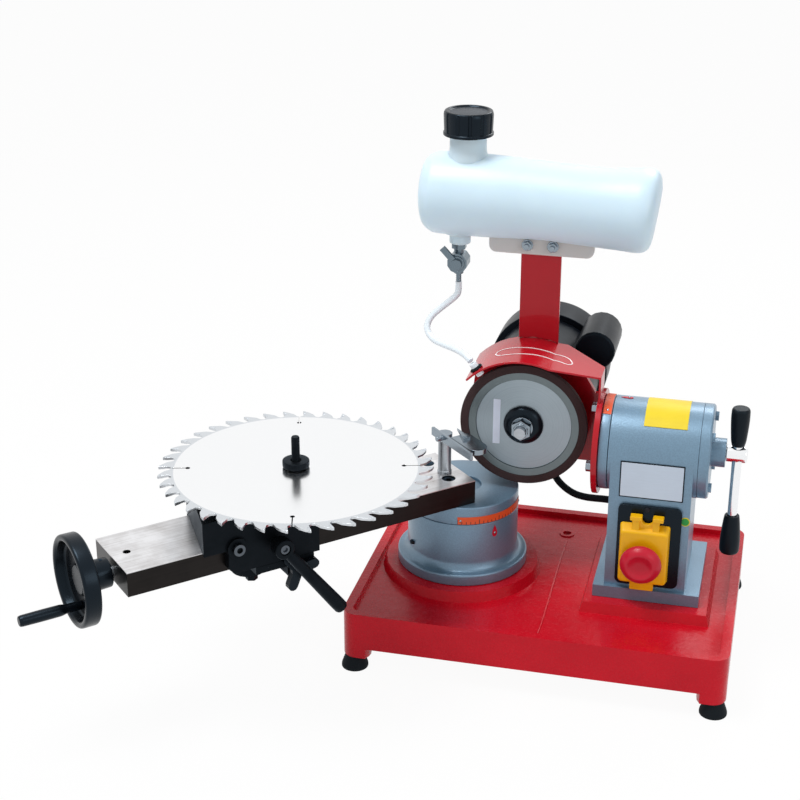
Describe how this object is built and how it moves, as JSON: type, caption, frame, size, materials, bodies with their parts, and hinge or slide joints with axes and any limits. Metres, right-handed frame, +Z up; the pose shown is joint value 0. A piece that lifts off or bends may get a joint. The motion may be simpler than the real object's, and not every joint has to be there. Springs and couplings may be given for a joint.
{
  "type": "saw blade sharpening machine",
  "caption": "Bench machine that grinds circular saw blade teeth: dish wheel head with coolant tank, swivelling blade carriage on a rail, feed lever and cast tray base.",
  "frame": {"origin": "middle of the whole machine's bounds, on the ground under the rubber feet", "axes": "+X along the base's front edge towards the feed lever, +Y away from the front towards the motor's rear, +Z up"},
  "size_m": [0.6068, 0.5288, 0.5146],
  "materials": {
    "red_paint": "gloss red paint on castings and sheet steel",
    "grey_paint": "grey hammered metallic paint",
    "dark_steel": "dark oiled machined steel",
    "bright_steel": "bright ground steel",
    "chrome": "polished chrome plating",
    "black_oxide": "satin black oxide steel",
    "black_plastic": "black moulded plastic or black painted metal",
    "black_rubber": "black rubber",
    "bronze": "machined bronze",
    "core": "plain cast or laminated metal",
    "tank_plastic": "translucent white polyethylene",
    "hose_plastic": "clear flexible vinyl",
    "red_plastic": "red moulded plastic",
    "yellow_plastic": "yellow moulded plastic",
    "green_plastic": "green moulded plastic"
  },
  "bodies": {
    "base": {"base_casting": "red_paint", "foot_front_left": "black_rubber", "foot_front_right": "black_rubber", "foot_back_left": "black_rubber", "foot_back_right": "black_rubber", "turntable_column": "grey_paint", "stand_housing": "grey_paint", "housing_end_cap": "grey_paint", "switch_box": "black_plastic", "cable_gland": "black_plastic"},
    "rail": {"turntable_ring": "grey_paint", "rail_bar": "dark_steel", "rail_screw": "black_oxide", "stop_post": "bright_steel"},
    "lead_screw": {"lead_screw": "bright_steel", "handwheel": "black_plastic"},
    "crank_grip": {"crank_grip": "black_plastic"},
    "carriage": {"carriage_block": "black_oxide", "carriage_keeper": "black_oxide", "lead_nut": "bronze", "blade_seat": "black_oxide"},
    "clamp_lever": {"clamp_lever": "black_oxide"},
    "star_knob": {"star_knob": "black_plastic"},
    "blade": {"saw_blade": "bright_steel"},
    "clamp_nut": {"clamp_nut": "black_oxide"},
    "tooth_stop": {"stop_arm": "bright_steel", "stop_finger": "bright_steel"},
    "off_button": {"off_button": "red_plastic"},
    "start_button": {"start_button": "green_plastic"},
    "switch_cover": {"switch_cover": "yellow_plastic"},
    "stop_knob": {"stop_knob": "red_plastic"},
    "quill": {"feed_quill": "bright_steel"},
    "feed_lever": {"cam_spindle": "bright_steel", "feed_lever": "chrome", "upper_grip": "black_plastic", "lower_grip": "black_plastic"},
    "head": {"tilt_ring": "grey_paint", "head_bracket": "red_paint", "wheel_guard": "red_paint", "spray_nozzle": "black_rubber", "tank_post": "red_paint", "motor_housing": "black_plastic", "motor_end_shield": "core", "fan_cover": "black_plastic", "capacitor_cover": "black_plastic", "stator_core": "core", "front_bearing": "bright_steel", "rear_bearing": "bright_steel", "motor_lead": "black_rubber", "coolant_tank": "tank_plastic", "tap_body": "chrome", "coolant_hose": "hose_plastic"},
    "wheel_spindle": {"rotor_shaft": "bright_steel", "inner_flange": "black_oxide", "grinding_wheel": "core", "outer_flange": "black_oxide", "arbor_nut": "chrome"},
    "tank_cap": {"tank_cap": "black_plastic"},
    "tap_lever": {"tap_lever": "chrome"}
  },
  "joints": [
    {"name": "turntable_turn", "type": "hinge", "parent": "base", "child": "rail", "pos_m": [0.02537, 0.06445, 0.1299], "axis": [0, 0, 1], "range_deg": [-20, 20]},
    {"name": "handwheel_turn", "type": "hinge", "parent": "rail", "child": "lead_screw", "pos_m": [-0.24627, -0.20842, 0.157], "axis": [0.7145, 0.6997, 0], "range_deg": [-865, 3961]},
    {"name": "crank_grip_spin", "type": "hinge", "parent": "lead_screw", "child": "crank_grip", "pos_m": [-0.27485, -0.23641, 0.1315], "axis": [0.7145, 0.6997, 0], "continuous": true},
    {"name": "carriage_slide", "type": "slide", "parent": "rail", "child": "carriage", "axis": [0.7145, 0.6997, 0], "range_m": [-0.055, 0.012]},
    {"name": "clamp_lever_turn", "type": "hinge", "parent": "carriage", "child": "clamp_lever", "pos_m": [-0.09948, -0.14179, 0.17], "axis": [-0.6997, 0.7145, 0], "range_deg": [-40, 40]},
    {"name": "star_knob_turn", "type": "hinge", "parent": "carriage", "child": "star_knob", "pos_m": [-0.08933, -0.12485, 0.1384], "axis": [-0.6997, 0.7145, 0], "range_deg": [-90, 90]},
    {"name": "blade_spin", "type": "hinge", "parent": "carriage", "child": "blade", "pos_m": [-0.10552, -0.07059, 0.213], "axis": [0, 0, 1], "continuous": true},
    {"name": "clamp_nut_spin", "type": "hinge", "parent": "blade", "child": "clamp_nut", "pos_m": [-0.10552, -0.07059, 0.218], "axis": [0, 0, 1], "continuous": true},
    {"name": "tooth_stop_swing", "type": "hinge", "parent": "rail", "child": "tooth_stop", "pos_m": [0.01193, 0.03673, 0.212], "axis": [0, 0, 1], "range_deg": [-20, 15]},
    {"name": "off_button_press", "type": "slide", "parent": "base", "child": "off_button", "axis": [0, 1, 0], "range_m": [0, 0.003], "stiffness_N_per_m": 300},
    {"name": "start_button_press", "type": "slide", "parent": "base", "child": "start_button", "axis": [0, 1, 0], "range_m": [0, 0.003], "stiffness_N_per_m": 300},
    {"name": "switch_cover_open", "type": "hinge", "parent": "base", "child": "switch_cover", "pos_m": [0.21287, 0.01495, 0.162], "axis": [-1, 0, 0], "range_deg": [0, 75]},
    {"name": "stop_knob_press", "type": "slide", "parent": "switch_cover", "child": "stop_knob", "axis": [0, 1, 0], "range_m": [0, 0.003], "stiffness_N_per_m": 300},
    {"name": "feed_slide", "type": "slide", "parent": "base", "child": "quill", "axis": [-1, 0, 0], "range_m": [0, 0.012]},
    {"name": "feed_lever_turn", "type": "hinge", "parent": "base", "child": "feed_lever", "pos_m": [0.28887, 0.06445, 0.21], "axis": [1, 0, 0], "range_deg": [0, 60.1]},
    {"name": "head_tilt", "type": "hinge", "parent": "quill", "child": "head", "pos_m": [0.16187, 0.06445, 0.21], "axis": [1, 0, 0], "range_deg": [-15, 15], "deforming": ["motor_lead"]},
    {"name": "wheel_spin", "type": "hinge", "parent": "head", "child": "wheel_spindle", "pos_m": [0.08357, 0.06445, 0.2177], "axis": [0, 1, 0], "continuous": true},
    {"name": "tank_cap_lift", "type": "slide", "parent": "head", "child": "tank_cap", "axis": [0, 0, 1], "range_m": [0, 0.03]},
    {"name": "tap_lever_turn", "type": "hinge", "parent": "head", "child": "tap_lever", "pos_m": [0.00857, 0.09545, 0.366], "axis": [0, 1, 0], "range_deg": [-90, 0]}
  ],
  "couplings": [
    {"joint": "handwheel_turn", "follows": "carriage_slide", "rad_per_m": -1256.6},
    {"joint": "feed_lever_turn", "follows": "feed_slide", "rad_per_m": 87.266},
    {"joint": "off_button_press", "follows": "stop_knob_press", "ratio": 1}
  ]
}
